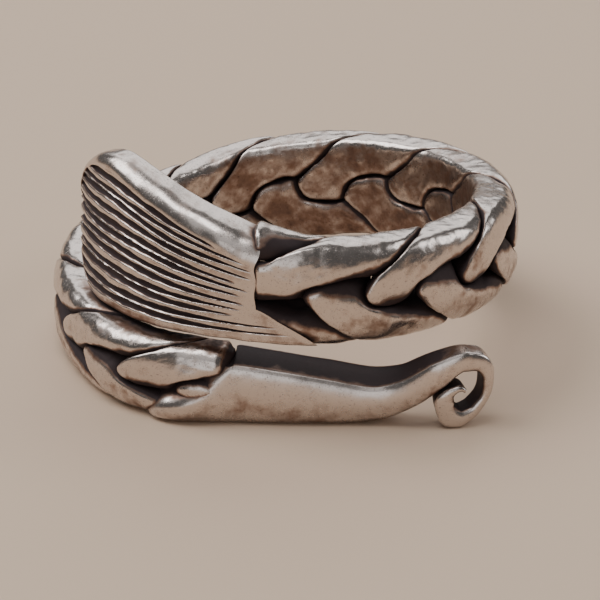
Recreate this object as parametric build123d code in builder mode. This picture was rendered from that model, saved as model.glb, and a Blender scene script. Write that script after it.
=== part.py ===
from build123d import *
import os
from math import atan, cos, degrees, hypot, pi, radians, sin

# A silver wrap ring that lies on its side, its hollow upright along Z and the floor at Z = 0.
# The origin is on the ring's axis, at the floor. A plaited band of three strands starts at
# the grooved fan in the upper coil, goes once round, drops to the floor behind, and ends in
# a plain tail that crosses the front below the fan and curls up in a scroll.
# Angles are in degrees round the ring, counterclockwise from +X, with the front at -90.

# Sizes in millimetres
finger_diameter = 17.3
band_thickness = 2.2
band_width = 5.25
coil_gap = 0.52
swing_out = 0.72

strand_width = 2.1
strand_thickness = 1.93
edge_thickening = 0.31
strand_swing = 2.02
weave_depth = 0.32
joint_gap = 0.06

fan_clearance = 0.09
fan_joint_height = 4.83
fan_rise = 2.3
fan_tip_thickness = 1.05
fan_flare = 0.1
groove_count = 12
groove_depth = 0.16
groove_margin = 0.35
fan_bevel = 0.55
fan_edge_round = 0.2

tail_height = 3.0
tail_depth = 1.95
tail_reach = 10.5
tail_sway = 0.33
scroll_radius = 2.27
scroll_thickness = 1.12
scroll_depth = 1.15

# Angles in degrees
fan_start = -97.3
fan_tip = -164.5
tail_start = 253.0
strand_roll = 29.0
first_phase = 30.0
section_step = 2.7
scroll_step = 18.0

# Counts and shares. A strand's oval is fuller on the finger's side than outside, where its edges
# are rounded. Squareness is 2 for an ellipse and more for a shape nearer to a box.
strand_count = 3
strand_sides = 10
strand_squareness = 2.2
outer_fullness = 1.1
inner_fullness = 1.25
filling_share = 0.36
press = 0.8
seam_share = 0.23
outer_squareness = 3.0
inner_squareness = 7.0
reach_step = 0.04
halvings = 8
nearby = 0.01
groove_start = 0.12
groove_run_in = 0.2
joint_rise = 0.05

# The plaited band from the fan to the tail: the angle, how many times one strand has passed over
# the next by then, the height above the floor as a share of the climb, the width as a share of
# band_width, and how far the band swings out as a share of swing_out.
BAND = [
    # angle, crossings, climb, width, swing
    (-98.0, -0.19, 1.000, 1.010, 0.00),
    (-85.0, 0.21, 0.910, 0.960, 0.00),
    (-54.0, 1.20, 0.835, 0.912, 0.00),
    (-23.0, 2.27, 0.740, 0.900, 0.00),
    (7.5, 3.02, 0.580, 0.900, 0.00),
    (37.5, 3.80, 0.434, 0.915, 0.00),
    (67.3, 4.77, 0.260, 0.955, 0.00),
    (96.4, 5.77, 0.096, 0.970, 0.00),
    (123.0, 6.78, 0.005, 0.880, 0.00),
    (150.0, 7.95, 0.000, 0.785, 0.00),
    (180.0, 9.10, 0.000, 0.725, 0.00),
    (205.0, 9.85, 0.000, 0.720, 0.30),
    (230.0, 10.70, 0.000, 0.710, 1.00),
    (244.0, 11.17, 0.000, 0.700, 0.75),
    (258.0, 11.64, 0.000, 0.660, -0.10),
]
low_width_share = 0.72

# The fan, from the plait to its tip. The lower edge goes from the band's edge (joint 1) to just
# above the lower coil (joint 0), the upper edge from the band's edge to the full rise. At the
# tip both edges close in by a share of the fan's full height. Thin 0 is the band's thickness,
# thin 1 that of the tip.
FAN = [
    # along, lower joint, upper joint, lower tip, upper tip, thin
    (0.000, 1.00, 1.00, 0.000, 0.000, 0.08),
    (0.100, 1.00, 0.82, 0.000, 0.000, 0.12),
    (0.205, 0.85, 0.62, 0.000, 0.000, 0.20),
    (0.310, 0.65, 0.42, 0.000, 0.000, 0.30),
    (0.430, 0.40, 0.18, 0.000, 0.000, 0.44),
    (0.545, 0.20, 0.02, 0.000, 0.000, 0.57),
    (0.660, 0.05, 0.00, 0.000, 0.012, 0.69),
    (0.780, 0.00, 0.00, 0.000, 0.095, 0.80),
    (0.900, 0.00, 0.00, 0.030, 0.235, 0.91),
    (0.965, 0.00, 0.00, 0.110, 0.350, 0.97),
    (1.000, 0.00, 0.00, 0.220, 0.450, 1.00),
]

# A groove's section: shares of the pitch upwards and of the groove's depth inwards
GROOVE = [
    # up, inwards
    (0.10, 0.0),
    (0.32, 1.0),
    (0.62, 1.0),
    (0.82, 0.0),
]

# The rounded bevel along the fan's upper edge: shares of the thickness inwards from the outer
# face, and of fan_bevel down from the top.
BEVEL = [
    # inwards, down
    (0.0, 1.00),
    (0.1, 0.40),
    (0.3, 0.08),
    (0.5, 0.00),
]

# The tail up to the top of the scroll: how far along, the middle's height as a share of
# tail_height, the thickness as a share of tail_height, the depth as a share of tail_depth, how
# much the top rises towards the finger as a share of its thickness, the slope in degrees, and
# the sway out from the straight line as a share of tail_sway.
TAIL = [
    # along, middle, thickness, depth, rise, slope, sway
    (0.070, 0.485, 0.970, 1.10, 0.06, 0.0, -0.35),
    (0.170, 0.470, 0.930, 1.08, 0.07, -2.0, -0.12),
    (0.290, 0.435, 0.865, 1.03, 0.09, -3.5, 0.00),
    (0.400, 0.398, 0.790, 1.00, 0.11, -4.0, 0.00),
    (0.510, 0.363, 0.710, 1.00, 0.14, -3.0, 0.00),
    (0.610, 0.338, 0.620, 0.97, 0.18, 2.0, 0.00),
    (0.700, 0.350, 0.545, 0.93, 0.22, 14.0, 0.05),
    (0.770, 0.430, 0.495, 0.87, 0.24, 27.0, 0.22),
    (0.840, 0.565, 0.455, 0.80, 0.22, 36.0, 0.55),
    (0.910, 0.745, 0.425, 0.73, 0.18, 37.0, 0.88),
    (0.970, 0.895, 0.405, 0.66, 0.13, 31.0, 1.00),
]

# The sway of the tail along the scroll, by its distance from the start as a share of tail_reach
SCROLL_SWAY = [
    # along, sway
    (0.900, 0.84),
    (0.970, 1.00),
    (1.050, 0.62),
    (1.140, -0.20),
    (1.230, -1.00),
    (1.300, -1.60),
]

# The scroll, winding clockwise from its top to the free end in the middle: the outer radius,
# thickness and depth as shares of the sizes at its top.
SCROLL = [
    # angle, radius, thickness, depth
    (0.0, 1.000, 0.90, 1.00),
    (30.0, 1.020, 0.77, 0.98),
    (60.0, 0.770, 0.55, 0.97),
    (90.0, 0.600, 0.48, 0.96),
    (120.0, 0.515, 0.47, 0.96),
    (150.0, 0.530, 0.55, 0.96),
    (180.0, 0.617, 0.76, 0.96),
    (210.0, 0.655, 0.93, 0.96),
    (240.0, 0.560, 0.85, 0.96),
    (270.0, 0.515, 0.76, 0.95),
    (300.0, 0.400, 0.52, 0.93),
    (330.0, 0.325, 0.36, 0.90),
    (360.0, 0.300, 0.27, 0.85),
    (385.0, 0.250, 0.20, 0.80),
]
scroll_centre_along = 1.059

# The tail's outline seen along it: shares of the depth inwards from its front face, and of the
# half thickness up from its middle.
TAIL_OUTLINE = [
    # inwards, up
    (0.00, 0.20),
    (0.05, 0.72),
    (0.12, 0.94),
    (0.22, 1.00),
    (0.90, 1.00),
    (1.00, 0.82),
    (1.00, -0.66),
    (0.84, -1.00),
    (0.26, -1.00),
    (0.09, -0.82),
    (0.01, -0.36),
]

# Sizes that follow from those above
finger_radius = finger_diameter / 2
middle_radius = finger_radius + band_thickness / 2
low_coil_height = band_width * low_width_share
climb = low_coil_height + coil_gap
phase_step = 360 / strand_count
gap_angle = degrees(joint_gap / middle_radius)
outer_radius = finger_radius + band_thickness
front_line = finger_radius + tail_depth


def row_at(rows, at):
    """The table's columns at a place between its rows, on smooth curves that do not overshoot."""
    places = [row[0] for row in rows]
    at = min(max(at, places[0]), places[-1])
    index = max(i for i in range(len(rows) - 1) if places[i] <= at)
    width = places[index + 1] - places[index]
    t = (at - places[index]) / width

    def slope(i, column):
        steps = []
        for j in (i - 1, i):
            if 0 <= j < len(rows) - 1:
                steps.append((rows[j + 1][column] - rows[j][column]) / (places[j + 1] - places[j]))
        if len(steps) == 1:
            return steps[0]
        return 0.0 if steps[0] * steps[1] <= 0 else 2 * steps[0] * steps[1] / (steps[0] + steps[1])

    values = []
    for column in range(1, len(rows[0])):
        start, end = rows[index][column], rows[index + 1][column]
        values.append(
            (2 * t**3 - 3 * t**2 + 1) * start
            + (t**3 - 2 * t**2 + t) * width * slope(index, column)
            + (3 * t**2 - 2 * t**3) * end
            + (t**3 - t**2) * width * slope(index + 1, column)
        )
    return values


def steps_between(start, end, step):
    """Evenly spaced values from start to end, no further apart than step."""
    count = max(1, round(abs(end - start) / step))
    return [start + (end - start) * i / count for i in range(count + 1)]


def radial_plane(angle):
    """The plane that holds the ring's axis at an angle: its X is the radius, its Y the height."""
    c, s = cos(radians(angle)), sin(radians(angle))
    return Plane(origin=(0, 0, 0), x_dir=(c, s, 0), z_dir=(s, -c, 0))


def strand_oval(strand, angle):
    """A strand's oval in the band at an angle: its middle, half its sizes and how far it rolls.

    The strand swings from edge to edge of the band once in three crossings, and in and out
    twice, so that it goes over one neighbour and under the next.
    """
    crossings = row_at(BAND, angle)[0]
    rate = (row_at(BAND, angle + nearby)[0] - row_at(BAND, angle - nearby)[0]) / radians(2 * nearby)
    phase = radians(first_phase + phase_step * (crossings - strand))
    slant = strand_swing * cos(phase) * radians(phase_step) * rate / middle_radius
    return {
        "up": strand_swing * sin(phase),
        "out": weave_depth * sin(2 * phase),
        "half_width": strand_width / 2 * hypot(1, slant),
        "half_thickness": (strand_thickness + edge_thickening * sin(phase) ** 4) / 2,
        "roll": radians(strand_roll) * cos(3 * phase),
    }


def oval_share(oval, up, out):
    """How far a point is from an oval's middle, as a share of the way to its edge."""
    c, s = cos(oval["roll"]), sin(oval["roll"])
    up, out = up - oval["up"], out - oval["out"]
    across = abs(up * c + out * s) / oval["half_width"]
    through = abs(out * c - up * s) / oval["half_thickness"]
    return (across**strand_squareness + through**strand_squareness) ** (1 / strand_squareness)


def band_share(up, out):
    """How far a point is from the band's middle, as a share of the way to its filed outline."""
    squareness = outer_squareness if out > 0 else inner_squareness
    across, through = abs(up) / (band_width / 2), abs(out) / (band_thickness / 2)
    return (across**squareness + through**squareness) ** (1 / squareness)


def strand_outline(strand, angle):
    """A strand's section at an angle, as radii and heights: its oval, pressed flat by others.

    From its middle the strand reaches out to the edge of its oval, to the band's outline, or to
    the seam halfway to another strand's oval, whichever comes first.
    """
    own = strand_oval(strand, angle)
    others = [strand_oval(other, angle) for other in range(strand_count) if other != strand]
    _, rise, width_share, swing = row_at(BAND, angle)
    middle = rise * climb + width_share * band_width / 2
    c, s = cos(own["roll"]), sin(own["roll"])
    outline = []
    for side in range(strand_sides):
        turn = 2 * pi * (side + 0.5) / strand_sides
        across, through = own["half_width"] * cos(turn), own["half_thickness"] * sin(turn)

        def point_at(reach):
            return (
                own["up"] + reach * (across * c - through * s),
                own["out"] + reach * (across * s + through * c),
            )

        def is_inside(reach):
            up, out = point_at(reach)
            own_share = oval_share(own, up, out)
            inwards = min(1.0, max(0.0, -out / (filling_share * band_thickness / 2)))
            fullness = outer_fullness + (inner_fullness - outer_fullness) * inwards
            if own_share > fullness or band_share(up, out) > 1:
                return False
            return all(press * (own_share - oval_share(o, up, out)) + seam_share < 0 for o in others)

        reach = 0.0
        while is_inside(reach + reach_step):
            reach += reach_step
        step = reach_step
        for _ in range(halvings):
            step /= 2
            if is_inside(reach + step):
                reach += step
        up, out = point_at(reach)
        outline.append((middle_radius + swing * swing_out + out, middle + width_share * up))
    return outline


def faceted_solid(outlines):
    """A closed solid with flat facets, two for each side from one outline to the next."""
    facets = [outlines[0], outlines[-1]]
    for here, there in zip(outlines, outlines[1:]):
        for side in range(len(here)):
            ahead = (side + 1) % len(here)
            facets.append((here[side], there[side], there[ahead]))
            facets.append((here[side], there[ahead], here[ahead]))
    return Solid(Shell([Face(Wire.make_polygon(facet)) for facet in facets]))


def fan_outline(along):
    """The fan's section at a share of its length: a plate with grooves in its outer face."""
    lower_joint, upper_joint, lower_tip, upper_tip, thin = row_at(FAN, along)
    joint_bottom = climb
    joint_top = climb + fan_joint_height
    low = low_coil_height + fan_clearance
    high = joint_top + fan_rise
    bottom = low + lower_joint * (joint_bottom - low) + lower_tip * (high - low)
    top = high - upper_joint * (high - joint_top) - upper_tip * (high - low)
    thickness = band_thickness + thin * (fan_tip_thickness - band_thickness)
    inner = finger_radius + thin * fan_flare
    outer = inner + thickness
    round_off = min(fan_edge_round, thickness / 4)
    outline = [(inner, bottom + round_off), (inner + round_off, bottom)]
    outline += [(outer - round_off, bottom), (outer, bottom + round_off)]
    depth = groove_depth * min(1.0, groove_start + along / groove_run_in)
    grooved_low = bottom + groove_margin
    pitch = (top - fan_bevel - groove_margin / 2 - grooved_low) / groove_count
    for groove in range(groove_count):
        for up, inwards in GROOVE:
            outline.append((outer - inwards * depth, grooved_low + (groove + up) * pitch))
    for inwards, down in BEVEL:
        outline.append((outer - inwards * thickness, top - down * fan_bevel))
    outline += [(inner + round_off, top), (inner, top - round_off)]
    return outline


def plan_point(along, rows):
    """The front face's place in plan at a share of tail_reach, and its direction in degrees."""
    start_x = outer_radius * cos(radians(tail_start))
    here, ahead, behind = (row_at(rows, along + shift)[-1] for shift in (0, nearby, -nearby))
    direction = degrees(atan((behind - ahead) * tail_sway / (2 * nearby * tail_reach)))
    return start_x + along * tail_reach, -front_line - here * tail_sway, direction


def tail_plane(x, y, z, direction, slope):
    """The plane across the tail: X goes inwards from the front face, Y up across its thickness."""
    d, s = radians(direction), radians(slope)
    forward = (cos(d) * cos(s), sin(d) * cos(s), sin(s))
    return Plane(origin=(x, y, z), x_dir=(-sin(d), cos(d), 0), z_dir=forward)


def tail_outline(thickness, depth, rise):
    """The tail's section: a rounded front, a flat top with a crisp front edge, a rounded bottom."""
    outline = []
    for inwards, up in TAIL_OUTLINE:
        lift = rise * thickness * inwards if up > 0 else 0
        outline.append((inwards * depth, up * thickness / 2 + lift))
    return outline


os.makedirs("parts", exist_ok=True)

# The three strands of the plait
strand_angles = steps_between(fan_start + gap_angle, tail_start, section_step)
for number in range(strand_count):
    outlines = []
    for angle in strand_angles:
        plane = radial_plane(angle)
        outlines.append([plane.from_local_coords(point) for point in strand_outline(number, angle)])
    strand_body = faceted_solid(outlines)
    with BuildPart() as strand:
        add(strand_body)
    strand.part.label = f"braid_strand_{number + 1}"
    export_step(strand.part, f"parts/braid_strand_{number + 1}.step")

# The grooved fan
with BuildPart() as fan:
    for along in [row[0] for row in FAN]:
        with BuildSketch(radial_plane(fan_start + along * (fan_tip - fan_start))):
            with BuildLine():
                Polyline(*fan_outline(along), close=True)
            make_face()
    loft(ruled=True, clean=False)
fan.part.label = "fan"
export_step(fan.part, "parts/fan.step")

# The tail with its scroll
with BuildPart() as tail:
    start_angle = tail_start + gap_angle
    start_x, start_y = outer_radius * cos(radians(start_angle)), outer_radius * sin(radians(start_angle))
    with BuildSketch(tail_plane(start_x, start_y, tail_height / 2, start_angle + 90, 0)):
        with BuildLine():
            Polyline(*tail_outline(tail_height, band_thickness, joint_rise), close=True)
        make_face()
    for along, middle, thickness, depth, rise, slope, sway in TAIL:
        x, y, direction = plan_point(along, TAIL)
        with BuildSketch(tail_plane(x, y, middle * tail_height, direction, slope)):
            with BuildLine():
                Polyline(*tail_outline(thickness * tail_height, depth * tail_depth, rise), close=True)
            make_face()
    scroll_turns = steps_between(0, SCROLL[-1][0], scroll_step)
    scroll_depths = [-row_at(SCROLL, turn)[0] * cos(radians(turn)) for turn in scroll_turns]
    scroll_middle = scroll_radius * max(scroll_depths)
    for turn in scroll_turns:
        radius, thickness, depth = row_at(SCROLL, turn)
        reach = radius * scroll_radius - thickness * scroll_thickness / 2
        along = scroll_centre_along + reach * sin(radians(turn)) / tail_reach
        x, y, direction = plan_point(along, SCROLL_SWAY)
        z = scroll_middle + reach * cos(radians(turn))
        with BuildSketch(tail_plane(x, y, z, direction, -turn)):
            with BuildLine():
                Polyline(*tail_outline(thickness * scroll_thickness, depth * scroll_depth, 0), close=True)
            make_face()
    loft(ruled=True, clean=False)
tail.part.label = "tail"
export_step(tail.part, "parts/tail.step")
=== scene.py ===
import math
import random

import bpy
import numpy as np
from bpy.props import FloatProperty, FloatVectorProperty, IntProperty, PointerProperty
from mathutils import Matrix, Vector
from mathutils.bvhtree import BVHTree


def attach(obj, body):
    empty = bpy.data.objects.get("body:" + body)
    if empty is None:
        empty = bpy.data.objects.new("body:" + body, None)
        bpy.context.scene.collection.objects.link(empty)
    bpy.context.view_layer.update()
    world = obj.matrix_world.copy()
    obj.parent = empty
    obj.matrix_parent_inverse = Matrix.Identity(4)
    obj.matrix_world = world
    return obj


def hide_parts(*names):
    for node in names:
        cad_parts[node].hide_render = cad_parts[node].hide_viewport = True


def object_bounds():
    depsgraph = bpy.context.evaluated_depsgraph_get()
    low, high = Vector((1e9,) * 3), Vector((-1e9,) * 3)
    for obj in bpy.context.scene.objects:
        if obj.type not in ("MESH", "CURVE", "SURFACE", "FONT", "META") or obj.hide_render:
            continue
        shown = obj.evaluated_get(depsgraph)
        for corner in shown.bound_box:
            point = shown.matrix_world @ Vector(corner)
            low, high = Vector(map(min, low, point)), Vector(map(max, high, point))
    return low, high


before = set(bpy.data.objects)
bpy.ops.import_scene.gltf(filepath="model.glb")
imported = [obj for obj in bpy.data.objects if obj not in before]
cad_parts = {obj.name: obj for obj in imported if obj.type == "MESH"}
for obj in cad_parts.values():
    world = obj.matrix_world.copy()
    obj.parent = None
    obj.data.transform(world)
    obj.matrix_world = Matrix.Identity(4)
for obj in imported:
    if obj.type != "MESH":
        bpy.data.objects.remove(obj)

CAD_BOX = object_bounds()
MM = 0.001

bl_info = {
    "name": "Plaited wrap ring",
    "version": (1, 0, 0),
    "blender": (4, 5, 0),
    "location": "3D View > Sidebar > Wrap Ring",
    "description": "A plaited silver wrap ring with an engraved fan and a scrolled tail",
    "category": "Add Mesh",
}

# The dressed pieces, which stand for the solids
PIECES = ("plait_strand_1", "plait_strand_2", "plait_strand_3", "engraved_fan", "scrolled_tail")

# The plait from the fan to the tail: the angle, how many times one strand has passed over the next
# by then, the height above the floor as a share of the climb, the width as a share of the band's,
# and how far the band swings out as a share of the swing.
BAND = [
    # angle, crossings, climb, width, swing
    (-98.0, -0.19, 1.000, 1.010, 0.00),
    (-85.0, -0.01, 0.910, 0.960, 0.00),
    (-54.0, 0.98, 0.835, 0.912, 0.00),
    (-23.0, 2.04, 0.740, 0.900, 0.00),
    (7.5, 3.00, 0.580, 0.900, 0.00),
    (37.5, 4.02, 0.434, 0.915, 0.00),
    (67.3, 5.00, 0.260, 0.955, 0.00),
    (96.4, 6.00, 0.096, 0.970, 0.00),
    (123.0, 7.00, 0.005, 0.880, 0.00),
    (150.0, 7.90, 0.000, 0.785, 0.00),
    (180.0, 8.87, 0.000, 0.725, 0.00),
    (205.0, 9.62, 0.000, 0.720, 0.30),
    (230.0, 10.47, 0.000, 0.710, 1.00),
    (244.0, 11.00, 0.000, 0.700, 0.75),
    (258.0, 11.64, 0.000, 0.660, -0.10),
]
LOW_WIDTH_SHARE = 0.72
FAN_START, FAN_TIP, TAIL_START = -97.3, -164.5, 253.0

# Each strand swings once from edge to edge of the band in three crossings, a third of a turn
# behind the one before.
STRAND_COUNT = 3
FIRST_PHASE, PHASE_STEP = 30.0, 120.0

# The fan from the plait to its tip, with both edges as shares, and how thin it has become
FAN = [
    # along, lower joint, upper joint, lower tip, upper tip, thin
    (0.000, 1.00, 1.00, 0.000, 0.000, 0.00),
    (0.100, 1.00, 0.82, 0.000, 0.000, 0.06),
    (0.205, 0.85, 0.65, 0.000, 0.000, 0.20),
    (0.310, 0.65, 0.47, 0.000, 0.000, 0.30),
    (0.430, 0.40, 0.26, 0.000, 0.000, 0.44),
    (0.545, 0.20, 0.10, 0.000, 0.000, 0.57),
    (0.660, 0.05, 0.01, 0.000, 0.000, 0.69),
    (0.780, 0.00, 0.00, 0.000, 0.045, 0.80),
    (0.900, 0.00, 0.00, 0.030, 0.155, 0.91),
    (0.965, 0.00, 0.00, 0.110, 0.265, 0.97),
    (1.000, 0.00, 0.00, 0.220, 0.410, 1.00),
]

# Where the tail lies over the plait: the degrees that its foot is before the joint, how far the foot
# and the top are sunk into the plait as shares of its thickness, and the height as a share of the
# tail's. The top is JOINT_LEAN degrees further on than the foot.
TAIL_JOINT = [
    # before, sunk foot, sunk top, height
    (20, 0.30, 0.34, 0.70),
    (16, -0.08, 0.24, 0.86),
    (10, -0.11, 0.05, 0.93),
]
JOINT_LEAN = 13
JOINT_MIDDLE = 0.49

# The tail up to the top of the scroll, as shares of its height, depth and sway
TAIL = [
    # along, middle, thickness, depth, rise, slope, sway
    (0.070, 0.485, 0.970, 1.10, 0.06, 0.0, -0.35),
    (0.170, 0.470, 0.930, 1.08, 0.07, -2.0, -0.12),
    (0.290, 0.435, 0.865, 1.03, 0.09, -3.5, 0.00),
    (0.400, 0.398, 0.790, 1.00, 0.11, -4.0, 0.00),
    (0.510, 0.363, 0.710, 1.00, 0.14, -3.0, 0.00),
    (0.610, 0.338, 0.620, 0.97, 0.18, 2.0, 0.00),
    (0.700, 0.350, 0.545, 0.93, 0.22, 14.0, 0.05),
    (0.770, 0.430, 0.495, 0.87, 0.24, 27.0, 0.22),
    (0.840, 0.565, 0.455, 0.80, 0.22, 36.0, 0.55),
    (0.910, 0.745, 0.425, 0.73, 0.18, 37.0, 0.88),
    (0.970, 0.895, 0.405, 0.66, 0.13, 31.0, 1.00),
]
SCROLL_SWAY = [
    # along, sway
    (0.900, 0.84),
    (0.970, 1.00),
    (1.050, 0.62),
    (1.140, -0.20),
    (1.230, -1.00),
    (1.300, -1.60),
]

# The scroll, winding clockwise from its top to the free end in the middle
SCROLL = [
    # angle, radius, thickness, depth
    (0.0, 1.000, 0.90, 1.00),
    (30.0, 1.020, 0.77, 0.98),
    (60.0, 0.770, 0.55, 0.97),
    (90.0, 0.600, 0.48, 0.96),
    (120.0, 0.515, 0.47, 0.96),
    (150.0, 0.530, 0.55, 0.96),
    (180.0, 0.617, 0.76, 0.96),
    (210.0, 0.655, 0.93, 0.96),
    (240.0, 0.560, 0.85, 0.96),
    (270.0, 0.515, 0.76, 0.95),
    (300.0, 0.400, 0.52, 0.93),
    (330.0, 0.325, 0.36, 0.90),
    (360.0, 0.300, 0.27, 0.85),
    (385.0, 0.250, 0.20, 0.80),
]
SCROLL_CENTRE_ALONG = 1.059

# The tail's outline seen along it: inwards from its front face, up from its middle, and how polished
# it is along the tail and in the scroll. The low values across the tail's top face make that face darker.
TAIL_OUTLINE = [
    # inwards, up, tail, scroll
    (0.00, 0.20, 1.0, 1.0),
    (0.05, 0.72, 1.0, 1.0),
    (0.12, 0.94, 1.0, 1.0),
    (0.22, 1.00, 0.3, 0.8),
    (0.90, 1.00, 0.1, 0.7),
    (1.00, 0.82, 0.5, 0.7),
    (1.00, -0.66, 0.7, 0.7),
    (0.84, -1.00, 0.7, 0.0),
    (0.26, -1.00, 0.8, 0.0),
    (0.09, -0.82, 0.75, 0.7),
    (0.01, -0.36, 0.86, 0.95),
]


def length(name, description, millimetres):
    """A size that is shown in the sidebar."""
    return FloatProperty(
        name=name, description=description, default=millimetres * MM, unit="LENGTH", precision=5
    )


def angle_setting(name, description, degrees):
    """An angle that is shown in the sidebar."""
    return FloatProperty(name=name, description=description, default=math.radians(degrees), subtype="ANGLE")


def share_setting(name, description, value):
    """A share that is shown in the sidebar."""
    return FloatProperty(name=name, description=description, default=value, subtype="FACTOR", min=0)


def colour(name, description, red, green, blue):
    """A colour that is shown in the sidebar."""
    return FloatVectorProperty(
        name=name, description=description, subtype="COLOR", size=3, default=(red, green, blue), min=0, max=1
    )


class RingSizes(bpy.types.PropertyGroup):
    """The ring's driving sizes."""

    finger_diameter: length("Finger diameter", "Across the finger hole", 17.3)
    band_thickness: length("Band thickness", "From the inner to the outer filed face", 2.2)
    band_width: length("Band width", "The plait's full width", 5.25)
    coil_gap: length("Coil gap", "Between the lower and the upper coil", 0.52)
    swing_out: length("Swing", "How far the lower coil swings out below the fan", 0.72)
    strand_width: length("Strand width", "Across a strand's face", 2.1)
    lane: length("Lane", "How far a strand swings up and down in the band", 2.02)
    strand_thickness: length("Strand thickness", "Through a strand", 1.93)
    edge_thickening: length("Edge thickening", "How much a strand swells at the band's edge", 0.31)
    weave_depth: length("Weave depth", "How far a strand goes in and out", 0.32)
    strand_roll: angle_setting("Strand roll", "How far a strand turns about itself", 29)
    seam_slant: angle_setting("Seam slant", "How far round the inner faces lie from the middle", 7)
    outer_swell: share_setting("Outer swell", "How full the strands are outside", 1.12)
    inner_swell: share_setting("Inner swell", "How full the strands are inside", 1.6)
    fan_clearance: length("Fan clearance", "Between the fan and the lower coil", 0.09)
    fan_joint_height: length("Fan joint height", "The fan's height where it joins the plait", 4.83)
    fan_rise: length("Fan rise", "How far the fan rises above the plait", 2.3)
    fan_tip_thickness: length("Fan tip thickness", "At the fan's free end", 1.05)
    fan_flare: length("Fan flare", "How far the tip stands off the finger", 0.1)
    fan_bevel: length("Fan bevel", "Height of the smooth band along the upper edge at the plait", 1.15)
    fan_rim: length("Fan rim", "Height of the smooth rim along the lower edge", 0.4)
    fan_edge_round: length("Fan edge round", "Radius of the fan's other edges", 0.2)
    groove_depth: length("Groove depth", "Depth of the engraved lines", 0.2)
    tail_height: length("Tail height", "The tail's height where it leaves the plait", 3.0)
    tail_depth: length("Tail depth", "The tail's depth towards the finger", 1.95)
    tail_reach: length("Tail reach", "From the plait to the scroll's start", 10.5)
    tail_lean: length("Tail lean", "How far the joint's upper end leans towards the scroll", 0.3)
    tail_sway: length("Tail sway", "How far the scroll turns to the front", 0.33)
    scroll_radius: length("Scroll radius", "From its middle to its top", 2.27)
    scroll_thickness: length("Scroll thickness", "Of the strip at the top", 1.12)
    scroll_depth: length("Scroll depth", "Of the strip, front to back", 1.15)
    groove_count: IntProperty(name="Grooves", description="Engraved lines on the fan", default=12, min=1)


class SilverColours(bpy.types.PropertyGroup):
    """The colours of the silver and of the stage."""

    bright: colour("Polished silver", "High spots and edges", 0.64, 0.57, 0.53)
    # Painted reflection: the aged silver's warm brown is partly tarnish and partly stands for a warm floor
    # reflected in the unpolished faces.
    aged_and_floor_reflection: colour("Aged silver and floor reflection", "Between the high spots and the recesses", 0.27, 0.175, 0.135)
    oxide: colour("Oxide", "Dark tarnish in the recesses", 0.045, 0.03, 0.032)
    floor: colour("Floor", "The pale floor", 0.68, 0.51, 0.38)


def row_at(rows, at):
    """The table's columns at a place between its rows, on smooth curves that do not overshoot."""
    table = np.array(rows)
    places = table[:, 0]
    at = min(max(at, places[0]), places[-1])
    index = min(int(np.searchsorted(places, at, side="right")) - 1, len(places) - 2)
    widths = np.diff(places)
    steps = np.diff(table[:, 1:], axis=0) / widths[:, None]
    slopes = []
    for i in (index, index + 1):
        before, after = steps[max(i - 1, 0)], steps[min(i, len(steps) - 1)]
        total = np.where(before * after > 0, before + after, 1.0)
        slopes.append(np.where(before * after > 0, 2 * before * after / total, 0.0))
    width = widths[index]
    t = (at - places[index]) / width
    start, end = table[index, 1:], table[index + 1, 1:]
    return (
        (2 * t**3 - 3 * t**2 + 1) * start
        + (t**3 - 2 * t**2 + t) * width * slopes[0]
        + (3 * t**2 - 2 * t**3) * end
        + (t**3 - t**2) * width * slopes[1]
    )


def curved_through(points, count, closed):
    """Points on a smooth curve through points, count of them from each one to the next."""
    points = np.array(points)
    total = len(points)
    curve = []
    for i in range(total if closed else total - 1):
        if closed:
            a, b, c, d = (points[(i + j) % total] for j in (-1, 0, 1, 2))
        else:
            a, b, c, d = (points[min(max(i + j, 0), total - 1)] for j in (-1, 0, 1, 2))
        for t in np.arange(count) / count:
            bend, twist = 2 * a - 5 * b + 4 * c - d, 3 * b - a - 3 * c + d
            curve.append(0.5 * (2 * b + (c - a) * t + bend * t**2 + twist * t**3))
    if not closed:
        curve.append(points[-1])
    return np.array(curve)


def smooth_step(value, low, high):
    """0 below low, 1 above high, and a smooth rise between them."""
    t = np.clip((value - low) / (high - low), 0, 1)
    return t * t * (3 - 2 * t)


def polar(radii, heights, angle, polish_and_painted_reflection):
    """Points at an angle round the ring, from their radii and heights, each with how polished it is; on the
    strands this value also carries a painted floor reflection.
    """
    c, s = np.cos(np.radians(angle)), np.sin(np.radians(angle))
    return np.stack([radii * c, radii * s, heights, polish_and_painted_reflection * np.ones_like(radii)], axis=-1)


def evened(sections, rounds):
    """Sections with each point drawn towards its neighbours, round the section and along the piece."""
    sections = np.array(sections)
    for _ in range(rounds):
        sections = (np.roll(sections, 1, axis=1) + 2 * sections + np.roll(sections, -1, axis=1)) / 4
        inside = (sections[:-2] + 2 * sections[1:-1] + sections[2:]) / 4
        sections = np.concatenate([sections[:1], inside, sections[-1:]])
    return sections


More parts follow.
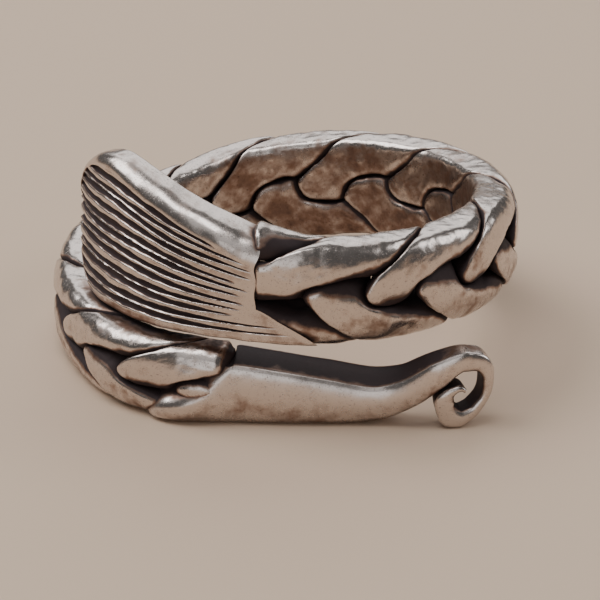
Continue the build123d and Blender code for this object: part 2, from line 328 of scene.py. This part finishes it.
def rolled_piece(name, sections):
    """A closed piece from a flat sheet that is rolled round its sections, from end to end."""
    sections = np.array(sections)
    rows, columns = sections.shape[0] - 1, sections.shape[1]
    bpy.ops.object.select_all(action="DESELECT")
    bpy.ops.mesh.primitive_grid_add(x_subdivisions=rows, y_subdivisions=columns, size=1, location=(0, 0, 0))
    piece = bpy.context.object
    piece.name = piece.data.name = name
    flat = np.empty(len(piece.data.vertices) * 3)
    piece.data.vertices.foreach_get("co", flat)
    flat = flat.reshape(-1, 3)
    along = np.rint((flat[:, 0] + 0.5) * rows).astype(int)
    around = np.rint((flat[:, 1] + 0.5) * columns).astype(int) % columns
    piece.data.vertices.foreach_set("co", sections[along, around, :3].ravel())
    put_attribute(piece, "polish_and_painted_reflection", sections[along, around, 3])
    bpy.ops.object.mode_set(mode="EDIT")
    bpy.ops.mesh.select_all(action="SELECT")
    bpy.ops.mesh.remove_doubles(threshold=0.0005 * MM)
    bpy.ops.mesh.fill_holes(sides=0)
    bpy.ops.mesh.select_all(action="SELECT")
    bpy.ops.mesh.normals_make_consistent(inside=False)
    bpy.ops.object.mode_set(mode="OBJECT")
    return piece


def dented(piece, name, size, depth):
    """Small dents over the whole piece, as a hammer and handling leave them."""
    texture = bpy.data.textures.new(name, "CLOUDS")
    texture.noise_scale = size
    texture.noise_depth = 1
    dents = piece.modifiers.new(name, "DISPLACE")
    dents.texture = texture
    dents.texture_coords = "LOCAL"
    dents.direction = "NORMAL"
    dents.mid_level = 0.5
    dents.strength = depth
    bpy.context.view_layer.objects.active = piece
    bpy.ops.object.modifier_apply(modifier=name)


def points_of(piece):
    """The places of a piece's vertices."""
    points = np.empty(len(piece.data.vertices) * 3)
    piece.data.vertices.foreach_get("co", points)
    return points.reshape(-1, 3)


def normals_of(piece):
    """The directions that a piece's surface faces at its vertices."""
    normals = np.empty(len(piece.data.vertices) * 3)
    piece.data.vertices.foreach_get("normal", normals)
    return normals.reshape(-1, 3)


def edge_ends(piece):
    """The two vertices at the ends of each of a piece's edges."""
    ends = np.empty(len(piece.data.edges) * 2, dtype=int)
    piece.data.edges.foreach_get("vertices", ends)
    return ends.reshape(-1, 2)


def finished(piece, node, material):
    """Shades a piece, keeps it in the CAD box and lets it stand for its node."""
    sharpness = 40
    low, high = np.array(CAD_BOX[0]), np.array(CAD_BOX[1])
    piece.data.vertices.foreach_set("co", points_of(piece).clip(low, high).ravel())
    piece.data.update()
    bpy.ops.object.select_all(action="DESELECT")
    piece.select_set(True)
    bpy.context.view_layer.objects.active = piece
    bpy.ops.object.shade_smooth_by_angle(angle=math.radians(sharpness))
    piece.data.materials.clear()
    piece.data.materials.append(material)
    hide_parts(node)
    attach(piece, "root")


def strand_oval(sizes, strand, angle):
    """A strand's oval at an angle: its middle in the band, half its width and thickness, its roll."""
    crossings = row_at(BAND, angle)[0]
    rate = (row_at(BAND, angle + 1)[0] - row_at(BAND, angle - 1)[0]) / 2
    phase = math.radians(FIRST_PHASE + PHASE_STEP * (crossings - strand))
    middle_radius = (sizes.finger_diameter + sizes.band_thickness) / 2
    slant = sizes.lane * math.cos(phase) * PHASE_STEP * rate / middle_radius
    return {
        "up": sizes.lane * math.sin(phase),
        "out": sizes.weave_depth * math.sin(2 * phase),
        "wide": sizes.strand_width / 2 * math.hypot(1, slant),
        "thick": (sizes.strand_thickness + sizes.edge_thickening * math.sin(phase) ** 4) / 2,
        "roll": sizes.strand_roll * math.cos(3 * phase),
    }


def oval_share(oval, up, out):
    """How far a point is from an oval's middle, as a share of the oval's edge."""
    squareness = 2.2
    c, s = math.cos(oval["roll"]), math.sin(oval["roll"])
    up, out = up - oval["up"], out - oval["out"]
    across, deep = (up * c + out * s) / oval["wide"], (out * c - up * s) / oval["thick"]
    return (np.abs(across) ** squareness + np.abs(deep) ** squareness) ** (1 / squareness)


def band_share(sizes, up, out):
    """How far a point is from the band's middle, as a share of its filed outline."""
    outer, inner = 2.85, 7.0
    up, out = np.abs(up) / (sizes.band_width / 2), out / (sizes.band_thickness / 2)
    rounded = (up**outer + np.abs(out) ** outer) ** (1 / outer)
    flat = (up**inner + np.abs(out) ** inner) ** (1 / inner)
    return np.where(out > 0, rounded, flat)


def placed_in_band(sizes, up, out, angle):
    """A section's points round the ring, slanted and sunk into the joints, each with how polished it is,
    lowered towards the band's foot as a painted floor reflection.
    """
    slant_fade, painted_foot_reflection, inner_age = 14, 0.14, 0.24
    here, steepness = row_at(BAND, angle), (row_at(BAND, angle + 1) - row_at(BAND, angle - 1)) / 2
    from_joint = min(angle - FAN_START, TAIL_START - angle)
    slant = math.degrees(sizes.seam_slant) * smooth_step(from_joint, 0, slant_fade)
    shift = -slant * out / (sizes.band_thickness / 2)
    _, rise, width, swing = here[:, None] + steepness[:, None] * shift
    sunk = smooth_step(FAN_START - angle, 0.1, 1.1) + smooth_step(angle - TAIL_START, 0.5, 3)
    up, out = up * (1 - 0.12 * sunk), out * (1 - 0.5 * sunk)
    middle_radius = (sizes.finger_diameter + sizes.band_thickness) / 2
    climb = sizes.band_width * LOW_WIDTH_SHARE + sizes.coil_gap
    heights = rise * climb + width * (sizes.band_width / 2 + up)
    polish_and_painted_reflection = smooth_step(band_share(sizes, up, out), 0.9, 0.965)
    polish_and_painted_reflection *= 1 - inner_age * smooth_step(-out, 0.4 * MM, 0.9 * MM)
    # Painted reflection: the lower part of the band is made less polished, so the strands turn darker and
    # browner there, standing for a warm floor reflected in their lower faces.
    polish_and_painted_reflection *= 1 - painted_foot_reflection * smooth_step(-up, 0.3 * MM, 1.5 * MM)
    return polar(middle_radius + swing * sizes.swing_out + out, heights, angle + shift, polish_and_painted_reflection)


def strand_section(sizes, strand, angle, sides):
    """A strand's section: its oval, pressed flat by the other strands and by the band's outline."""
    grip, seam, sharpness, furthest = 0.8, 0.03, 16, 1.6
    ovals = [strand_oval(sizes, number, angle) for number in range(STRAND_COUNT)]
    own = ovals.pop(strand)
    turns = 2 * math.pi * (np.arange(sides) + 0.5) / sides
    across, deep = own["wide"] * np.cos(turns), own["thick"] * np.sin(turns)
    c, s = math.cos(own["roll"]), math.sin(own["roll"])
    up_step, out_step = across * c - deep * s, across * s + deep * c
    reaches = np.linspace(0, furthest, 100)[:, None]
    up, out = own["up"] + reaches * up_step, own["out"] + reaches * out_step
    own_share = oval_share(own, up, out)
    inside = smooth_step(-out, 0, 0.4 * MM)
    swell = sizes.outer_swell + (sizes.inner_swell - sizes.outer_swell) * inside
    shares = [own_share / swell, band_share(sizes, up, out)]
    for other in ovals:
        shares.append(1 + grip * (own_share - oval_share(other, up, out)) + seam)
    total = np.log(sum(np.exp(sharpness * (share - 1)) for share in shares)) / sharpness
    last = np.argmax(total > 0, axis=0) - 1
    columns = np.arange(sides)
    before, after = total[last, columns], total[last + 1, columns]
    reach = reaches[last, 0] + before / (before - after) * (reaches[1, 0] - reaches[0, 0])
    return placed_in_band(sizes, own["up"] + reach * up_step, own["out"] + reach * out_step, angle)


def engraved_lines(count):
    """The fan's engraved lines, each a little different in place, width, depth and both ends."""
    drawn = random.Random(7)
    lines = []
    for number in range(count):
        lines.append(
            {
                "place": (number + 0.5 + drawn.uniform(-0.14, 0.14)) / count,
                "sway": drawn.uniform(-0.16, 0.16) / count,
                "waves": drawn.uniform(0.6, 1.6),
                "offset": drawn.uniform(0, 2 * math.pi),
                "width": drawn.uniform(0.26, 0.35) / count,
                "depth": drawn.uniform(0.75, 1.0),
                "start": drawn.uniform(0.01, 0.09),
                "end": drawn.uniform(0.98, 1.05),
            }
        )
    return lines


def line_depth(line, share, along):
    """How deep an engraved line is, as a share of the full depth, over a stretch of the section."""
    turn = 2 * math.pi * along
    place = line["place"] + line["sway"] * math.sin(line["waves"] * turn + line["offset"])
    run_in = min(1.0, max(0.0, (along - line["start"]) / 0.3))
    run_out = min(1.0, max(0.0, (line["end"] - along) / 0.05))
    ragged = 1 + 0.1 * math.sin(5 * (turn + line["offset"])) + 0.06 * math.sin(13 * turn + 9 * line["offset"])
    width = line["width"] * ragged * (0.35 + 0.65 * run_in)
    depth = line["depth"] * (0.5 + 0.5 * run_in) * min(1.0, run_in * 6) * run_out
    return depth * np.exp(-(((share - place) / width) ** 4))


def joint_shift(along, share):
    """The degrees that the fan's end runs on over the plait: a pointed tongue at the foot, a rough edge."""
    tongue_length, tongue_end, tongue_height, head_length, rough_end = 15, 0.09, 0.34, 1.1, 0.07
    tongue = tongue_length * max(0.0, 1 - along / tongue_end)
    tongue = tongue * np.clip(1 - share / tongue_height, 0, 1) ** 0.8
    rough_edge = head_length * smooth_step(share, 0.72, 0.95) + 0.2 * np.sin(23 * share)
    return tongue + rough_edge * (1 - smooth_step(along, 0, rough_end))


def fan_section(sizes, along, lines):
    """The fan's section: a plate with engraved lines in its outer face and a smooth bevel on top.

    Below along 0 it is the fan's closed end, drawn in under the plait.
    """
    lower_joint, upper_joint, lower_tip, upper_tip, thin = row_at(FAN, along)
    low_coil = sizes.band_width * LOW_WIDTH_SHARE
    joint_bottom = low_coil + sizes.coil_gap
    joint_top = joint_bottom + sizes.fan_joint_height
    low, high = low_coil + sizes.fan_clearance, joint_top + sizes.fan_rise
    bottom = low + lower_joint * (joint_bottom - low) + lower_tip * (high - low)
    top = high - upper_joint * (high - joint_top) - upper_tip * (high - low)
    thickness = sizes.band_thickness + thin * (sizes.fan_tip_thickness - sizes.band_thickness)
    inner = sizes.finger_diameter / 2 + thin * sizes.fan_flare
    rounding = 0.02
    tip = min(1.0, max(0.0, 1 - (1 - along) / rounding))
    closing = 1 - 0.6 * (1 - math.sqrt(1 - tip**2))
    inner += thickness * (1 - closing) * 0.4
    thickness *= closing
    outer = inner + thickness
    edge, bevel_depth = min(sizes.fan_edge_round, thickness / 3), thickness * 0.55
    bevel = sizes.fan_bevel * (0.45 + 0.55 * (1 - along) ** 1.5)
    in_corner, in_curve, in_face, in_back = 8, 19, 209, 10
    corner, curve = (np.linspace(0, math.pi / 2, count) for count in (in_corner, in_curve + 1))
    curve = curve[1:]
    face = np.linspace(bottom + edge, top - bevel, in_face + 1)[1:]
    open_bottom = low + lower_joint * (joint_bottom - low) + sizes.fan_rim
    open_top = high - upper_joint * (high - joint_top) - sizes.fan_bevel * 0.6
    share = (face - open_bottom) / (open_top - open_bottom)
    cut = np.max([line_depth(line, share, along) for line in lines], axis=0)
    radii = [
        inner + edge * (1 - np.cos(corner)),
        outer - edge * (1 - np.sin(corner)),
        outer - sizes.groove_depth * cut,
        outer - bevel_depth * (1 - np.cos(curve)),
        inner + edge * (1 - np.sin(corner)),
        np.full(in_back, inner),
    ]
    heights = [
        bottom + edge * (1 - np.sin(corner)),
        bottom + edge * (1 - np.cos(corner)),
        face,
        top - bevel * (1 - np.sin(curve)),
        top - edge * (1 - np.cos(corner)),
        np.linspace(top - edge, bottom + edge, in_back + 2)[1:-1],
    ]
    polish_and_painted_reflection = [np.full(2 * in_corner, 0.8), 1 - cut, np.ones(in_curve + in_corner), np.full(in_back, 0.8)]
    radii, heights, polish_and_painted_reflection = (np.concatenate(parts) for parts in (radii, heights, polish_and_painted_reflection))
    share, deep = (heights - bottom) / (top - bottom), (radii - inner) / thickness
    if along < 0:
        return polar(inner + 0.4 * (radii - inner), heights, FAN_START, polish_and_painted_reflection)
    shift = joint_shift(along, share) * smooth_step(deep, 0.2, 0.9)
    angle = FAN_START + along * (FAN_TIP - FAN_START) + shift
    return polar(radii, heights - 0.014 * MM * shift, angle, polish_and_painted_reflection)


def plan_point(sizes, along, sway_rows, sway_column):
    """The front face's place in plan at a share of the reach, and its direction in radians."""
    outer_radius = sizes.finger_diameter / 2 + sizes.band_thickness
    start_x = outer_radius * math.cos(math.radians(TAIL_START))
    nearby = 0.01
    here, ahead, behind = (row_at(sway_rows, along + shift)[sway_column] for shift in (0, nearby, -nearby))
    direction = math.atan((behind - ahead) * sizes.tail_sway / (2 * nearby * sizes.tail_reach))
    front_line = sizes.finger_diameter / 2 + sizes.tail_depth
    return start_x + along * sizes.tail_reach, -front_line - here * sizes.tail_sway, direction


def tail_section(place, direction, slope, thickness, depth, rise, curled=0, lean=0):
    """The tail's outline, set across it at a place: inwards from the front face and up."""
    inwards = np.array([-math.sin(direction), math.cos(direction), 0])
    forward = np.array(
        [math.cos(direction) * math.cos(slope), math.sin(direction) * math.cos(slope), math.sin(slope)]
    )
    upwards = np.cross(forward, inwards)
    outline = []
    for inward_share, up_share, polish_and_painted_reflection, buffed_curl in TAIL_OUTLINE:
        lift = rise * thickness * inward_share if up_share > 0 else 0
        up = up_share * thickness / 2 + lift
        point = np.array(place) + inwards * inward_share * depth + upwards * up
        point += forward * lean * (up / thickness + 0.5)
        outline.append([*point, polish_and_painted_reflection + (buffed_curl - polish_and_painted_reflection) * curled])
    return outline


def joint_section(sizes, before, sunk_foot, sunk_top, height):
    """The tail's outline where it lies over the plait and swings out with it."""
    inward, up, polish_and_painted_reflection, _ = np.array(TAIL_OUTLINE).T
    angles = TAIL_START - before + JOINT_LEAN * (up + 1) / 2
    swings = np.array([row_at(BAND, angle)[3] for angle in angles]) * sizes.swing_out
    sunk = sunk_foot + (sunk_top - sunk_foot) * smooth_step(up, -0.6, 0.4)
    radii = sizes.finger_diameter / 2 + swings + sizes.band_thickness * (1 - sunk - 0.8 * inward)
    heights = sizes.tail_height * (JOINT_MIDDLE + height * up / 2)
    return polar(radii, heights, angles, polish_and_painted_reflection).tolist()


def tail_sections(sizes):
    """The tail's sections from the plait to the scroll's inner end."""
    sections = [joint_section(sizes, *row) for row in TAIL_JOINT]
    for along, middle, thickness, depth, rise, slope, sway in TAIL:
        x, y, direction = plan_point(sizes, along, TAIL, 5)
        place = (x, y, middle * sizes.tail_height)
        thickness, depth = thickness * sizes.tail_height, depth * sizes.tail_depth
        lean = sizes.tail_lean * (1 - smooth_step(along, 0, 0.17))
        sections.append(tail_section(place, direction, math.radians(slope), thickness, depth, rise, 0, lean))
    scroll_steps = 27
    scroll_turns = np.linspace(0, SCROLL[-1][0], scroll_steps)
    scroll_depths = [-row_at(SCROLL, turn)[0] * math.cos(math.radians(turn)) for turn in scroll_turns]
    scroll_middle = sizes.scroll_radius * max(scroll_depths)
    for turn in scroll_turns:
        radius, thickness, depth = row_at(SCROLL, turn)
        thickness, depth = thickness * sizes.scroll_thickness, depth * sizes.scroll_depth
        reach = radius * sizes.scroll_radius - thickness / 2
        along = SCROLL_CENTRE_ALONG + reach * math.sin(math.radians(turn)) / sizes.tail_reach
        x, y, direction = plan_point(sizes, along, SCROLL_SWAY, 0)
        place = (x, y, scroll_middle + reach * math.cos(math.radians(turn)))
        sections.append(tail_section(place, direction, -math.radians(turn), thickness, depth, 0, 1))
    return sections


def hidden_share(piece, tree, reach, directions):
    """For each vertex, how much of its surroundings is filled by silver within reach."""
    lift, fading = 0.004 * MM, 0.6
    shares = np.zeros(len(piece.data.vertices))
    for index, (point, normal) in enumerate(zip(points_of(piece), normals_of(piece))):
        normal = Vector(normal)
        start = Vector(point) + normal * lift
        across = normal.orthogonal().normalized()
        other = normal.cross(across)
        hits = 0.0
        for x, y, z in directions:
            distance = tree.ray_cast(start, across * x + other * y + normal * z, reach)[3]
            if distance is not None:
                hits += 1 - fading * distance / reach
        shares[index] = hits / len(directions)
    return shares


def neighbour_mean(piece, values):
    """Values evened out over each vertex's neighbours."""
    ends = edge_ends(piece)
    total = values.copy()
    np.add.at(total, ends[:, 0], values[ends[:, 1]])
    np.add.at(total, ends[:, 1], values[ends[:, 0]])
    return total / (np.bincount(ends.ravel(), minlength=len(values)) + 1)


def edge_height(piece):
    """For each vertex, how much it stands out from its neighbours: above 0 on an edge."""
    points, normals = points_of(piece), normals_of(piece)
    ends = edge_ends(piece)
    first, second = ends.T
    span = points[second] - points[first]
    span_length = np.maximum(np.linalg.norm(span, axis=1), 1e-9)
    heights = np.zeros(len(points))
    np.add.at(heights, first, -(span * normals[first]).sum(axis=1) / span_length)
    np.add.at(heights, second, (span * normals[second]).sum(axis=1) / span_length)
    return heights / np.maximum(np.bincount(ends.ravel(), minlength=len(points)), 1)


def put_attribute(piece, name, values):
    """Keeps a value for each vertex, for the material to read."""
    attribute = piece.data.attributes.new(name, "FLOAT", "POINT")
    attribute.data.foreach_set("value", values.astype(np.float32))


class Nodes:
    """Adds and joins the nodes of one material or group."""

    def __init__(self, tree):
        self.tree = tree

    def add(self, kind, **settings):
        node = self.tree.nodes.new(kind)
        for name, value in settings.items():
            setattr(node, name, value)
        return node

    def join(self, source, target):
        self.tree.links.new(source, target)

    def maths(self, operation, first, second=None, clamp=False):
        node = self.add("ShaderNodeMath", operation=operation, use_clamp=clamp)
        for socket, value in zip(node.inputs, (first, second)):
            if value is None:
                continue
            if isinstance(value, (int, float)):
                socket.default_value = value
            else:
                self.join(value, socket)
        return node.outputs[0]

    def noise(self, coordinates, scale, detail=3.0, roughness=0.55):
        node = self.add("ShaderNodeTexNoise")
        node.inputs["Scale"].default_value = scale
        node.inputs["Detail"].default_value = detail
        node.inputs["Roughness"].default_value = roughness
        self.join(coordinates, node.inputs["Vector"])
        return node.outputs["Fac"]

    def ramp(self, value, low, high):
        node = self.add("ShaderNodeMapRange", interpolation_type="SMOOTHSTEP")
        node.inputs["From Min"].default_value = low
        node.inputs["From Max"].default_value = high
        self.join(value, node.inputs["Value"])
        return node.outputs["Result"]

    def mix(self, factor, first, second):
        node = self.add("ShaderNodeMix", data_type="RGBA")
        self.join(factor, node.inputs["Factor"])
        for socket, value in ((node.inputs[6], first), (node.inputs[7], second)):
            if isinstance(value, tuple):
                socket.default_value = value
            else:
                self.join(value, socket)
        return node.outputs[2]


def patina_group(colours):
    """The aged silver finish, whose warm brown and darker strand foot are partly a painted floor reflection:
    colour, roughness, metal and height from the recess and edge values.
    """
    group = bpy.data.node_groups.new("Aged silver and floor reflection", "ShaderNodeTree")
    for name, default in (("Tarnish", 0.5), ("Scratches", 0.5), ("Pits", 0.5)):
        socket = group.interface.new_socket(name, in_out="INPUT", socket_type="NodeSocketFloat")
        socket.default_value = default
    for name, kind in (("Colour", "Color"), ("Roughness", "Float"), ("Metal", "Float"), ("Height", "Float")):
        group.interface.new_socket(name, in_out="OUTPUT", socket_type="NodeSocket" + kind)
    nodes = Nodes(group)
    inputs, outputs = nodes.add("NodeGroupInput"), nodes.add("NodeGroupOutput")
    place = nodes.add("ShaderNodeTexCoord").outputs["Object"]
    recess = nodes.add("ShaderNodeAttribute", attribute_name="recess").outputs["Fac"]
    worn = nodes.add("ShaderNodeAttribute", attribute_name="worn").outputs["Fac"]
    polish_and_painted_reflection = nodes.add("ShaderNodeAttribute", attribute_name="polish_and_painted_reflection").outputs["Fac"]
    # The polish value also carries the painted floor reflection at the strands' foot.
    unpolished_and_painted_reflection = nodes.maths("SUBTRACT", 1.0, polish_and_painted_reflection)
    stains = nodes.noise(place, 420, 5, 0.6)
    blotches = nodes.noise(place, 1500, 4, 0.6)
    grain = nodes.noise(place, 6000, 3, 0.6)
    specks = nodes.noise(place, 14000, 2, 0.5)
    uneven = nodes.maths("ADD", nodes.maths("MULTIPLY", stains, 0.5), nodes.maths("MULTIPLY", blotches, 0.5))
    uneven = nodes.maths("SUBTRACT", uneven, 0.5)
    tarnish = nodes.maths("SUBTRACT", inputs.outputs["Tarnish"], 0.5)
    # Painted reflection: with the unpolished share, the darker, browner foot of the strands comes in here,
    # beside real stains, tarnish and oxide in the recesses.
    dirt_and_painted_reflection = nodes.maths("MULTIPLY", recess, 0.7)
    for cause, share in ((uneven, 0.9), (unpolished_and_painted_reflection, 0.6), (worn, -0.6), (tarnish, 0.4)):
        dirt_and_painted_reflection = nodes.maths("ADD", dirt_and_painted_reflection, nodes.maths("MULTIPLY", cause, share))
    aged_and_floor_reflection = nodes.ramp(dirt_and_painted_reflection, 0.0, 0.26)
    dark = nodes.ramp(dirt_and_painted_reflection, 0.22, 0.46)
    speckled = nodes.ramp(specks, 0.36, 0.3)
    pits = nodes.maths("MULTIPLY", speckled, inputs.outputs["Pits"])
    # Painted reflection: the aged colour's warm brown stands partly for a reflected warm floor.
    silver = nodes.mix(aged_and_floor_reflection, (*colours.bright, 1), (*colours.aged_and_floor_reflection, 1))
    silver = nodes.mix(dark, silver, (*colours.oxide, 1))
    silver = nodes.mix(pits, silver, (*colours.oxide, 1))
    rough = nodes.maths("ADD", nodes.maths("MULTIPLY", aged_and_floor_reflection, 0.2), 0.17)
    rough = nodes.maths("ADD", rough, nodes.maths("MULTIPLY", dark, 0.25))
    rough = nodes.maths("ADD", rough, nodes.maths("MULTIPLY", grain, 0.14), clamp=True)
    metal = nodes.maths("SUBTRACT", 1.0, nodes.maths("MULTIPLY", dark, 0.55))
    height = nodes.maths("MULTIPLY", grain, inputs.outputs["Scratches"])
    height = nodes.maths("SUBTRACT", height, nodes.maths("MULTIPLY", pits, 0.8))
    nodes.join(silver, outputs.inputs["Colour"])
    nodes.join(rough, outputs.inputs["Roughness"])
    nodes.join(metal, outputs.inputs["Metal"])
    nodes.join(height, outputs.inputs["Height"])
    return group


def silver_material(name, group, tarnish, scratches, pits):
    """A silver finish with its own share of tarnish, scratches and pits."""
    material = bpy.data.materials.new(name)
    material.use_nodes = True
    nodes = Nodes(material.node_tree)
    shader = material.node_tree.nodes["Principled BSDF"]
    finish = nodes.add("ShaderNodeGroup", node_tree=group)
    for socket, value in (("Tarnish", tarnish), ("Scratches", scratches), ("Pits", pits)):
        finish.inputs[socket].default_value = value
    bump = nodes.add("ShaderNodeBump")
    bump.inputs["Strength"].default_value = 0.35
    bump.inputs["Distance"].default_value = 0.02 * MM
    nodes.join(finish.outputs["Height"], bump.inputs["Height"])
    nodes.join(finish.outputs["Colour"], shader.inputs["Base Color"])
    nodes.join(finish.outputs["Roughness"], shader.inputs["Roughness"])
    nodes.join(finish.outputs["Metal"], shader.inputs["Metallic"])
    nodes.join(bump.outputs["Normal"], shader.inputs["Normal"])
    return material


# The finish of each kind of piece: tarnish, scratches and pits
FINISHES = {
    "plaited silver": (0.6, 0.7, 0.6),
    "engraved silver": (0.65, 0.6, 0.5),
    "smooth silver": (0.6, 0.5, 0.5),
}


def finish_of(name):
    """The named silver finish, made once with the group that all of them share."""
    group = bpy.data.node_groups.get("Aged silver and floor reflection") or patina_group(bpy.context.scene.silver_colours)
    return bpy.data.materials.get(name) or silver_material(name, group, *FINISHES[name])


class MakeStrands(bpy.types.Operator):
    """Makes the three strands of the plait"""

    bl_idname = "mesh.ring_strands"
    bl_label = "Strands"

    def execute(self, context):
        sizes = context.scene.ring_sizes
        steps, sides, in_fan, in_tail = 700, 84, 1.2, 3
        angles = np.linspace(FAN_START - in_fan, TAIL_START + in_tail, steps)
        for strand in range(STRAND_COUNT):
            sections = [strand_section(sizes, strand, angle, sides) for angle in angles]
            piece = rolled_piece(f"plait_strand_{strand + 1}", evened(sections, rounds=2))
            dented(piece, "hammering", size=0.9 * MM, depth=0.1 * MM)
            dented(piece, "handling", size=0.3 * MM, depth=0.03 * MM)
            finished(piece, f"braid_strand_{strand + 1}", finish_of("plaited silver"))
        return {"FINISHED"}


class MakeFan(bpy.types.Operator):
    """Makes the fan with its engraved lines"""

    bl_idname = "mesh.ring_fan"
    bl_label = "Fan"

    def execute(self, context):
        sizes = context.scene.ring_sizes
        lines = engraved_lines(sizes.groove_count)
        closed_end, tip_start = -1, 0.97
        face, tip = np.linspace(0, tip_start, 150), np.linspace(tip_start, 1, 16)
        places = np.concatenate([[closed_end], face, tip[1:]])
        sections = [fan_section(sizes, along, lines) for along in places]
        piece = rolled_piece("engraved_fan", sections)
        dented(piece, "hammering", size=1.2 * MM, depth=0.08 * MM)
        finished(piece, "fan", finish_of("engraved silver"))
        return {"FINISHED"}


class MakeTail(bpy.types.Operator):
    """Makes the tapered tail with its scroll"""

    bl_idname = "mesh.ring_tail"
    bl_label = "Tail"

    def execute(self, context):
        along, around = 6, 4
        sections = curved_through(tail_sections(context.scene.ring_sizes), along, closed=False)
        sections = [curved_through(section, around, closed=True) for section in sections]
        piece = rolled_piece("scrolled_tail", sections)
        dented(piece, "hammering", size=1.2 * MM, depth=0.04 * MM)
        finished(piece, "tail", finish_of("smooth silver"))
        return {"FINISHED"}


class AgeSilver(bpy.types.Operator):
    """Finds the recesses and the edges of all the silver, for the tarnish and the wear"""

    bl_idname = "object.ring_age"
    bl_label = "Tarnish and wear"

    def execute(self, context):
        pieces = [bpy.data.objects[name] for name in PIECES]
        points, faces = [], []
        for piece in pieces:
            start = len(points)
            points.extend(vertex.co.copy() for vertex in piece.data.vertices)
            faces.extend([start + v for v in face.vertices] for face in piece.data.polygons)
        tree = BVHTree.FromPolygons(points, faces)
        rays, reach, wear = 20, 1.3 * MM, 4
        golden = math.pi * (3 - math.sqrt(5))
        directions = []
        for number in range(rays):
            out = math.sqrt((number + 0.5) / rays)
            turn = number * golden
            directions.append((out * math.cos(turn), out * math.sin(turn), math.sqrt(1 - out * out)))
        for piece in pieces:
            hidden = hidden_share(piece, tree, reach, directions)
            put_attribute(piece, "recess", neighbour_mean(piece, hidden))
            put_attribute(piece, "worn", np.clip(neighbour_mean(piece, edge_height(piece)) * wear, 0, 1))
        return {"FINISHED"}


# The soft lights, each turned to the ring: degrees round it and up, then metres and watts
LIGHTS = [
    # name, azimuth, height, distance, size, energy
    ("key", 165, 50, 0.45, 0.3, 1.2),
    ("back", 90, 38, 0.5, 0.4, 0.8),
    ("top", 230, 80, 0.45, 0.2, 0.5),
    ("low front", 262, 13, 0.5, 0.3, 0.3),
    ("side", 10, 30, 0.45, 0.25, 0.5),
    ("front", 260, 50, 0.5, 0.3, 0.15),
]
CAMERA_HEIGHT, CAMERA_DISTANCE, LENS, SENSOR = 25, 280, 358.3, 36


class SetStage(bpy.types.Operator):
    """Sets the floor, the lights and the camera"""

    bl_idname = "scene.ring_stage"
    bl_label = "Stage"

    def execute(self, context):
        bpy.ops.object.select_all(action="DESELECT")
        bpy.ops.mesh.primitive_plane_add(size=4, location=(0, 0, CAD_BOX[0][2]))
        floor = context.object
        floor.name = "floor"
        material = bpy.data.materials.new("floor")
        material.use_nodes = True
        shader = material.node_tree.nodes["Principled BSDF"]
        shader.inputs["Base Color"].default_value = (*context.scene.silver_colours.floor, 1)
        shader.inputs["Roughness"].default_value = 0.75
        floor.data.materials.append(material)
        for name, azimuth, height, distance, size, energy in LIGHTS:
            a, h = math.radians(azimuth), math.radians(height)
            place = Vector((math.cos(a) * math.cos(h), math.sin(a) * math.cos(h), math.sin(h))) * distance
            bpy.ops.object.light_add(type="AREA", location=place)
            light = context.object
            light.name = name
            light.data.energy, light.data.size = energy, size
            light.rotation_mode = "QUATERNION"
            light.rotation_quaternion = (-place).to_track_quat("-Z", "Y")
        world = bpy.data.worlds.new("studio")
        context.scene.world = world
        world.use_nodes = True
        background = world.node_tree.nodes["Background"]
        background.inputs["Color"].default_value = (0.93, 0.92, 0.92, 1)
        background.inputs["Strength"].default_value = 0.1
        elevation, distance = math.radians(CAMERA_HEIGHT), CAMERA_DISTANCE * MM
        right = Vector((1, 0, 0))
        back = Vector((0, -math.cos(elevation), math.sin(elevation)))
        up = back.cross(right)
        aim_right, aim_up = 0.68 * MM, 1.33 * MM
        target = right * aim_right + up * aim_up
        bpy.ops.object.camera_add(location=back * distance)
        camera = context.object
        camera.rotation_mode = "QUATERNION"
        camera.rotation_quaternion = (target - camera.location).to_track_quat("-Z", "Y")
        camera.data.sensor_width, camera.data.lens = SENSOR, LENS
        camera.data.clip_start, camera.data.clip_end = 0.01, 10
        context.scene.camera = camera
        return {"FINISHED"}


class VIEW3D_PT_wrap_ring(bpy.types.Panel):
    """Lists the ring's pieces, its sizes and its colours"""

    bl_label = "Wrap Ring"
    bl_space_type = "VIEW_3D"
    bl_region_type = "UI"
    bl_category = "Wrap Ring"

    def draw(self, context):
        column = self.layout.column(align=True)
        for operator in (MakeStrands, MakeFan, MakeTail, AgeSilver, SetStage):
            column.operator(operator.bl_idname)
        for group in (context.scene.ring_sizes, context.scene.silver_colours):
            box = self.layout.box()
            for name in group.bl_rna.properties.keys():
                if name not in ("rna_type", "name"):
                    box.prop(group, name)


CLASSES = (
    RingSizes,
    SilverColours,
    MakeStrands,
    MakeFan,
    MakeTail,
    AgeSilver,
    SetStage,
    VIEW3D_PT_wrap_ring,
)


def register():
    for item in CLASSES:
        bpy.utils.register_class(item)
    bpy.types.Scene.ring_sizes = PointerProperty(type=RingSizes)
    bpy.types.Scene.silver_colours = PointerProperty(type=SilverColours)


def unregister():
    del bpy.types.Scene.silver_colours
    del bpy.types.Scene.ring_sizes
    for item in reversed(CLASSES):
        bpy.utils.unregister_class(item)


def main():
    register()
    bpy.ops.mesh.ring_strands()
    bpy.ops.mesh.ring_fan()
    bpy.ops.mesh.ring_tail()
    bpy.ops.object.ring_age()
    bpy.ops.scene.ring_stage()


if __name__ == "__main__":
    main()
